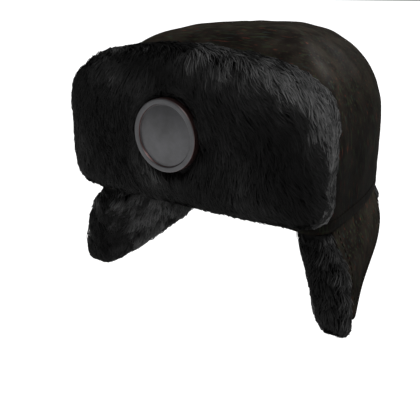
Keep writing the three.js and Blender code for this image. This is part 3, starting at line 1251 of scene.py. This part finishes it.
@dataclass
class FurPad:
    """A furred piece: soft under-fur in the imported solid's form, and locks of guard hair on it.

    The pad is sewn to some pieces, and others are laid on it. A hair is drawn as thick as a
    wisp of real ones, each of which is too fine to show. A spread is a least share, and what
    chance adds to it for each hair and for each lock. The parting is the middle and the radius
    of what the hair parts round.
    """

    node: str
    flap: FrontFlap | HangingFlap
    pad: Piece
    sewn: Sequence[Piece]
    hairs: int
    seed: int
    hair_length: float
    laid: Sequence[Piece] = ()
    lift: float = 3.0 * MM
    radius: float = 0.36 * MM
    hairs_a_lock: float = 15.556
    length_spread: tuple[float, float, float] = (0.72, 0.36, 0.2)
    lift_spread: tuple[float, float, float] = (0.7, 0.4, 0.35)
    waviness: float = 0.28
    gathering: float = 0.4
    overhang: float = 0.35
    seam_reach: float = 6 * MM
    patch_width: float = 17 * MM
    patch_length: float = 42 * MM
    lie: float = 32.0
    mean_tone: float = 0.42
    broad_tone: float = 0.34
    fine_tone: float = 0.17
    tone_ends: tuple[float, float] = (0.05, 0.74)
    patch_seeds: tuple[int, int] | None = None
    pressed: float = 0.0
    clearance: float = 0.5 * MM
    push_reach: float = 9 * MM
    most_pushed: float = 4 * MM
    pieces: int = 1
    parting: tuple[float, float, float] | None = None

    def build(self, under_fur: Material, guard_hair: Material) -> None:
        """Finishes the under-fur and builds the guard hair.

        Args:
            under_fur: The material of the short dense hair.
            guard_hair: The material of the long hair.
        """
        finish_piece(self.pad, Slot.FUR, under_fur, self.node)
        paths, tones = self.grown([surface_tree(cover) for cover in (*self.sewn, *self.laid)])
        share = -(-len(paths) // self.pieces)
        for i in range(self.pieces):
            part = slice(i * share, (i + 1) * share)
            number = f"_{i + 1}" if self.pieces > 1 else ""
            piece = self.hair_piece(f"{self.node}_guard_hair{number}", paths[part], tones[part])
            finish_piece(piece, Slot.FUR, guard_hair)

    def roots(self, trees: Sequence[BVHTree]) -> tuple[Array, Array]:
        """Scatters roots over the part of the pad that nothing covers.

        Args:
            trees: The surfaces of what covers the pad, those that it is sewn to first.

        Returns:
            The roots and the pad's normals there.
        """
        random = np.random.default_rng(self.seed)
        mesh = self.pad.data
        mesh.calc_loop_triangles()
        corners = np.empty(len(mesh.loop_triangles) * 3, dtype=np.int64)
        mesh.loop_triangles.foreach_get("vertices", corners)
        points = mesh_points(mesh)[corners.reshape(-1, 3)]
        normals = mesh_normals(mesh)[corners.reshape(-1, 3)]
        crossed = np.cross(points[:, 1] - points[:, 0], points[:, 2] - points[:, 0])
        area = np.linalg.norm(crossed, axis=1) / 2
        centres = points.mean(axis=1)
        facing = unit(normals.mean(axis=1))
        bare = np.zeros(len(area), dtype=bool)
        for number, tree in enumerate(trees):
            places, outward = nearest(tree, centres)
            away = places - centres
            gap = np.linalg.norm(away, axis=1)
            ahead = np.einsum("ij,ij->i", unit(away), facing)
            bare |= np.einsum("ij,ij->i", away, outward) > 0
            bare |= (gap < 1.2 * MM) & (ahead > 0.3)
            if number < len(self.sewn):
                bare |= (gap < self.pressed / 6) | (gap < self.pressed) & (ahead > 0.7)
        weight = np.where(bare, 0, area)
        chosen = random.choice(len(area), size=self.hairs, p=weight / weight.sum())
        u, v = random.random((2, self.hairs))
        over = u + v > 1
        u = np.where(over, 1 - u, u)
        v = np.where(over, 1 - v, v)
        mix = np.stack([1 - u - v, u, v], axis=1)[:, :, None]
        return (points[chosen] * mix).sum(axis=1), unit((normals[chosen] * mix).sum(axis=1))

    def patches(self, points: Array, painted_light_amount: Array) -> Array:
        """Gives the tone of the fur, in soft patches that run along its lie, paled by painted light.

        Args:
            points: The hairs' roots.
            painted_light_amount: The painted light at each, 0 to 1, which pales its tone.

        Returns:
            Tones from dark, 0, to pale, 1.
        """
        lie = math.radians(self.lie)
        along = points[:, 0] * math.sin(lie) - points[:, 2] * math.cos(lie)
        across = points[:, 0] * math.cos(lie) + points[:, 2] * math.sin(lie)
        squeezed = along * self.patch_width / self.patch_length
        spread = np.column_stack([across, points[:, 1], squeezed])
        broad, fine = self.patch_seeds or (self.seed + 5, self.seed + 6)
        tone = self.mean_tone + self.broad_tone * waves(spread, 2.2 * self.patch_width, broad)
        tone += self.fine_tone * waves(spread, 0.9 * self.patch_width, fine)
        tone = np.clip(tone, *self.tone_ends)
        # Painted light pales the tone towards the top of the ramp.
        return tone + (1 - tone) * painted_light_amount

    def grown(self, trees: Sequence[BVHTree]) -> tuple[Array, Array]:
        """Grows hairs along the flow and gathers them into locks.

        Args:
            trees: The surfaces of what covers the pad, those that it is sewn to first.

        Returns:
            The points of each hair from root to tip, and the tones of its lock and itself.
        """
        random = np.random.default_rng(self.seed + 1)
        roots, normals = self.roots(trees)
        leaders = int(len(roots) / self.hairs_a_lock)
        lock = nearest_index(roots, roots[:leaders])
        lock_tone = random.random(leaders)[lock]
        hair_tone = random.random(len(roots))

        def varied(least: float, hair: float, shared: float) -> Array:
            """Draws a share for each hair, partly alike within a lock."""
            return least + hair * random.random(len(roots)) + shared * lock_tone

        length = self.hair_length * varied(*self.length_spread)
        sewn = trees[: len(self.sewn)]
        gaps = [np.linalg.norm(nearest(tree, roots)[0] - roots, axis=1) for tree in sewn]
        seam = 1 - smooth_step(np.min(gaps, axis=0), 1.5 * MM, self.seam_reach)
        lift = self.lift * varied(*self.lift_spread)
        lift *= 1 - 0.75 * seam
        bend = self.waviness * random.normal(size=len(roots))
        path = self.combed(roots, normals, length, lift, self.overhang * (1 - seam), bend)
        gathered = self.gathering * (1 - 0.8 * seam)
        pull = gathered[:, None, None] * np.array([0, 0.25, 0.65, 1.0])[None, :, None]
        path = path + (path[lock] - path) * pull
        drawn = path.copy()
        for i in range(1, path.shape[1]):
            if self.parting:
                path[:, i] = self.kept_off(path[:, i])
            for tree in trees:
                path[:, i] = pushed_out(tree, path[:, i], self.clearance, self.push_reach)
        # Painted light: paler fur where the flap's shape would catch the light, and a little beside the
        # seams.
        painted_light_amount = np.clip(self.flap.painted_fur_light(roots, normals) + 0.12 * seam, 0, 1)
        tone = self.patches(roots, painted_light_amount) + 0.14 * (lock_tone - 0.5)
        kept = np.linalg.norm(path - drawn, axis=2).max(axis=1) < self.most_pushed
        return path[kept], np.stack([tone, hair_tone], axis=1)[kept]

    def combed(
        self, roots: Array, normals: Array, length: Array, lift: Array, overhang: Array, bend: Array
    ) -> Array:
        """Leads each hair over the pad in three strides along the flow.

        Args:
            roots: The hairs' roots.
            normals: The pad's normals there.
            length: The hairs' lengths.
            lift: How high each stands off the pad.
            overhang: How far each runs on freely past a bend of the pad, 0 to 1.
            bend: How far each strays sideways, as a share of its way.

        Returns:
            Four points of each hair, from under the skin to the tip.
        """
        skin = surface_tree(self.pad)
        place, normal, free = roots, normals, roots
        path = [roots - normals * MM]
        for step, height in ((0.4, 0.8), (0.35, 1.0), (0.25, 0.75)):
            flow = self.flap.flow(place, normal)
            if self.parting:
                flow = self.parted(place, flow)
            flow = unit(flow - normal * np.einsum("ij,ij->i", flow, normal)[:, None])
            flow = unit(flow + np.cross(normal, flow) * bend[:, None])
            stride = flow * (length * step)[:, None]
            free = free + stride
            place, normal = nearest(skin, place + stride)
            place = place + (free - place) * overhang[:, None]
            path.append(place + normal * (lift * height)[:, None])
        return np.stack(path, axis=1)

    def from_parting(self, points: Array) -> tuple[Array, Array]:
        """Gives the way from the parting's middle to each point, without its depth.

        Args:
            points: Points of the pad.

        Returns:
            The directions, and how far out each point is.
        """
        away = points - [self.parting[0], 0, self.parting[1]]
        away[:, 1] = 0
        return unit(away), np.linalg.norm(away, axis=1)

    def parted(self, points: Array, flow: Array) -> Array:
        """Turns the flow aside where it would run into the parting.

        Args:
            points: Points of the pad.
            flow: The flow at each.

        Returns:
            The flow, without its part towards the middle where that is near.
        """
        away, out = self.from_parting(points)
        radius = self.parting[2]
        near = 1 - smooth_step(out, radius, radius + self.hair_length)
        towards = np.minimum(0, np.einsum("ij,ij->i", flow, away)) * near
        return flow - away * towards[:, None] * 1.2

    def kept_off(self, points: Array) -> Array:
        """Moves points that lie in the parting sideways to its edge."""
        away, out = self.from_parting(points)
        return points + away * np.clip(self.parting[2] - out, 0, None)[:, None]

    def hair_piece(self, name: str, paths: Array, tones: Array) -> Piece:
        """Joins many thin three-sided hairs into one piece.

        Args:
            name: The piece's name.
            paths: Points of each hair from root to tip.
            tones: The tones of each hair's lock and of the hair itself.

        Returns:
            The piece, with how far along each point is and the tones in its attribute "hair".
        """
        width = self.radius * (0.75 + 0.5 * tones[:, 1])[:, None] * np.array([0.8, 1.0, 0.7])
        piece = thin_tubes(name, paths, width, 3)
        way = np.append(np.repeat([0.0, 0.4, 0.75], 3), 1.0)
        values = np.ones((len(paths), len(way), 4))
        values[:, :, 0] = way
        values[:, :, 1:3] = tones[:, None, :]
        hair = piece.data.attributes.new("hair", "FLOAT_COLOR", "POINT")
        hair.data.foreach_set("color", values.ravel())
        return piece


@dataclass
class Topstitching:
    """Rows of lockstitches, in a thread that dips into the cloth at both ends of each stitch."""

    stitch: float = 3.4 * MM
    gap: float = 0.9 * MM
    radius: float = 0.27 * MM
    height: float = 0.1 * MM
    dip: float = 0.7 * MM

    def row(self, cloth: Piece, line: Array) -> Array:
        """Lays stitches along a line on a piece of cloth.

        Args:
            cloth: The piece.
            line: Points near the piece that the row follows.

        Returns:
            The points of each stitch.
        """
        length = passed(line)
        starts = np.arange(0, length[-1] - self.stitch, self.stitch + self.gap)
        ways = starts[:, None] + self.stitch * np.array([0, 0.15, 0.5, 0.85, 1])
        flat = np.column_stack([np.interp(ways.ravel(), length, line[:, i]) for i in range(3)])
        places, normals = nearest(surface_tree(cloth), flat)
        rise = [-self.dip, self.height, 2 * self.height, self.height, -self.dip]
        lift = np.tile(rise, len(starts))
        return (places + normals * lift[:, None]).reshape(len(starts), len(rise), 3)

    def build(self, rows: Sequence[Array], thread: Material) -> None:
        """Joins rows of stitches into one piece.

        Args:
            rows: The points of each row's stitches.
            thread: The thread's material.
        """
        paths = np.concatenate(rows)
        widths = np.tile(self.radius * np.array([0.8, 1, 1, 0.9]), (len(paths), 1))
        finish_piece(thin_tubes("topstitching", paths, widths, 5), Slot.CLOTH, thread)


@dataclass
class Badge:
    """A plain round badge: a shallow dome inside a raised rim, with a post behind it."""

    radius: float = 24 * MM
    thickness: float = 7.5 * MM
    rim_width: float = 3.8 * MM
    rim_height: float = 1.3 * MM
    bevel: float = 0.9 * MM
    dome_height: float = 2.4 * MM
    dome_share: float = 0.985
    dome_rows: int = 24
    z: float = 63 * MM
    back_y: float = -132 * MM
    post_radius: float = 2 * MM
    post_length: float = 7 * MM
    steps: int = 128

    def profile(self) -> list[tuple[float, float]]:
        """Draws the badge's profile, from behind to the middle of the dome.

        Returns:
            The radius and height of each point.
        """
        inner = self.radius - self.rim_width
        floor = self.thickness - self.rim_height
        corner = [(math.cos(turn), math.sin(turn)) for turn in np.linspace(0, math.pi / 2, 9)]
        rows = [
            (0.0, -self.post_length),
            (self.post_radius, -self.post_length),
            (self.post_radius, 0.0),
            (self.radius - self.bevel, 0.0),
            (self.radius, self.bevel),
        ]
        for c, s in corner:
            rows.append((self.radius - self.bevel * (1 - c), self.thickness - self.bevel * (1 - s)))
        for c, s in corner:
            rows.append((inner + self.bevel * (1 - s), self.thickness - self.rim_height * (1 - c)))
        for i in range(self.dome_rows + 1):
            out = 1 - i / self.dome_rows
            rows.append((inner * out * self.dome_share, floor + self.dome_height * (1 - out**2)))
        return rows

    def build(self, face: Material, edge: Material) -> Piece:
        """Spins the profile into the badge.

        Args:
            face: The material of the badge's front.
            edge: The material of its side and back.

        Returns:
            The finished piece.
        """
        bm = bmesh.new()
        verts = [bm.verts.new((out, self.back_y - height, self.z)) for out, height in self.profile()]
        edges = [bm.edges.new(pair) for pair in zip(verts, verts[1:])]
        bmesh.ops.spin(
            bm,
            geom=[*verts, *edges],
            cent=(0, self.back_y, self.z),
            axis=(0, 1, 0),
            angle=2 * math.pi,
            steps=self.steps,
            use_merge=True,
        )
        bmesh.ops.remove_doubles(bm, verts=bm.verts, dist=0.001 * MM)
        bmesh.ops.recalc_face_normals(bm, faces=bm.faces)
        sort_faces(bm)
        front_y = self.back_y - self.thickness + 0.5 * self.bevel
        middle_y = self.back_y - 0.5 * self.thickness
        for polygon in bm.faces:
            centre = polygon.calc_center_median()
            out = math.hypot(centre.x, centre.z - self.z)
            domed = out < self.radius - self.rim_width and centre.y < middle_y
            polygon.material_index = 0 if centre.y < front_y or domed else 1
            polygon.smooth = True
        piece = link_built("badge_metal", bm)
        finish_piece(piece, Slot.BADGE, face, "badge")
        piece.data.materials.append(edge)
        return piece


@dataclass(frozen=True)
class Lamp:
    """A soft distant light: where it comes from, in degrees, its strength and how wide it looks."""

    name: str
    azimuth: float
    elevation: float
    strength: float
    spread: float


@dataclass
class Studio:
    """The camera at the photograph's viewing angle, the floor and the light."""

    target: tuple[float, float, float] = (-29.6 * MM, -39.4 * MM, -25.1 * MM)
    azimuth: float = 33.1
    elevation: float = 20.7
    distance: float = 497.6 * MM
    lens: float = 50.06
    sensor: float = 36.0
    floor_z: float = -0.9
    floor_half: float = 60.0
    lamps: tuple[Lamp, ...] = (Lamp("key", 58, 58, 1.6, 24), Lamp("rim", 156, 42, 4.4, 34))
    surroundings: float = 0.3

    def aimed(self, name: str, data: bpy.types.ID, azimuth: float, elevation: float) -> Vector:
        """Puts a camera or light in the scene, looking at the hat.

        Args:
            name: Its name.
            data: The camera or light.
            azimuth: Where it looks from, in degrees round from the front.
            elevation: Its height above the horizon, in degrees.

        Returns:
            The way back from the hat to it, 1 m long.
        """
        turn = math.radians(azimuth)
        rise = math.radians(elevation)
        level = math.cos(rise)
        back = Vector((math.sin(turn) * level, -math.cos(turn) * level, math.sin(rise)))
        link(name, data).rotation_euler = (-back).to_track_quat("-Z", "Y").to_euler()
        return back

    def camera(self) -> None:
        """Places the camera."""
        data = bpy.data.cameras.new("camera")
        data.lens = self.lens
        data.sensor_width = self.sensor
        back = self.aimed("camera", data, self.azimuth, self.elevation)
        camera = bpy.data.objects["camera"]
        camera.location = Vector(self.target) + back * self.distance
        bpy.context.scene.camera = camera

    def floor(self) -> None:
        """Lays the floor, well below the hat, which is held up."""
        bm = bmesh.new()
        bmesh.ops.create_grid(bm, x_segments=1, y_segments=1, size=self.floor_half)
        for vert in bm.verts:
            vert.co.z = self.floor_z
        floor = link_built("floor", bm)
        floor.data.materials.append(PaintedFloor().make())

    def build(self) -> None:
        """Sets up the whole studio."""
        self.camera()
        self.floor()
        for lamp in self.lamps:
            data = bpy.data.lights.new(lamp.name, "SUN")
            data.energy = lamp.strength
            data.angle = math.radians(lamp.spread)
            self.aimed(lamp.name, data, lamp.azimuth, lamp.elevation)
        world = bpy.data.worlds.new("studio")
        world.use_nodes = True
        inputs = world.node_tree.nodes["Background"].inputs
        inputs["Color"].default_value = (1, 1, 1, 1)
        inputs["Strength"].default_value = self.surroundings
        bpy.context.scene.world = world
        bpy.context.scene.view_settings.view_transform = "Standard"


def main() -> None:
    """Builds the studio and every piece of the ushanka."""
    logging.basicConfig(level=logging.INFO, format="%(message)s")
    Studio().build()
    wool = BrushedWool().make()
    flap_wool = BrushedWool("matt brushed wool coating", gloss=0.015, side_flecks=0.75).make()
    furs = (UnderFur().make(), GuardHair().make())
    pewter = SatinMetal().make()
    bronze = SatinMetal("rose brown bronze", dull="543f3e", rubbed_and_highlight="644e4c").make()

    crown = Crown()
    cap = crown.build(wool)
    badge = Badge()
    plate = badge.build(pewter, bronze)
    ear = ear_flap()
    neck = neck_flap(crown)
    neck_cloth = neck.build_cloth(Side.LEFT, flap_wool, "neck_flap_cloth", "neck_flap_fur")
    sewing = Topstitching()
    rows = [sewing.row(cap, crown.hem_line()), sewing.row(neck_cloth, neck.seam_line(Side.LEFT))]

    front = FrontFlap()
    FurPad(
        node="front_flap",
        flap=front,
        pad=front.build_pad(surface_tree(cap)),
        sewn=[cap],
        laid=[plate],
        hairs=24000,
        seed=11,
        hair_length=15 * MM,
        seam_reach=11 * MM,
        lie=10.0,
        patch_seeds=(1417, 2329),
        pressed=12 * MM,
        pieces=2,
        parting=(0.0, badge.z, badge.radius + 0.3 * MM),
    ).build(*furs)
    for side in Side:
        node = f"ear_flap_fur_{side.name.lower()}"
        cloth = ear.build_cloth(side, flap_wool, f"ear_flap_cloth_{side.name.lower()}", node)
        rows.append(sewing.row(cloth, ear.seam_line(side)))
        FurPad(
            node=node,
            flap=ear,
            pad=ear.build_pad(side, node),
            sewn=[cap, cloth],
            hairs=9500,
            seed=23 + side.value,
            hair_length=12 * MM,
            lift=3.6 * MM,
        ).build(*furs)
    FurPad(
        node="neck_flap_fur",
        flap=neck,
        pad=neck.build_pad(Side.LEFT, "neck_flap_fur"),
        sewn=[cap, neck_cloth],
        hairs=6500,
        seed=37,
        hair_length=11 * MM,
    ).build(*furs)
    sewing.build(rows, Thread().make())


if __name__ == "__main__":
    main()
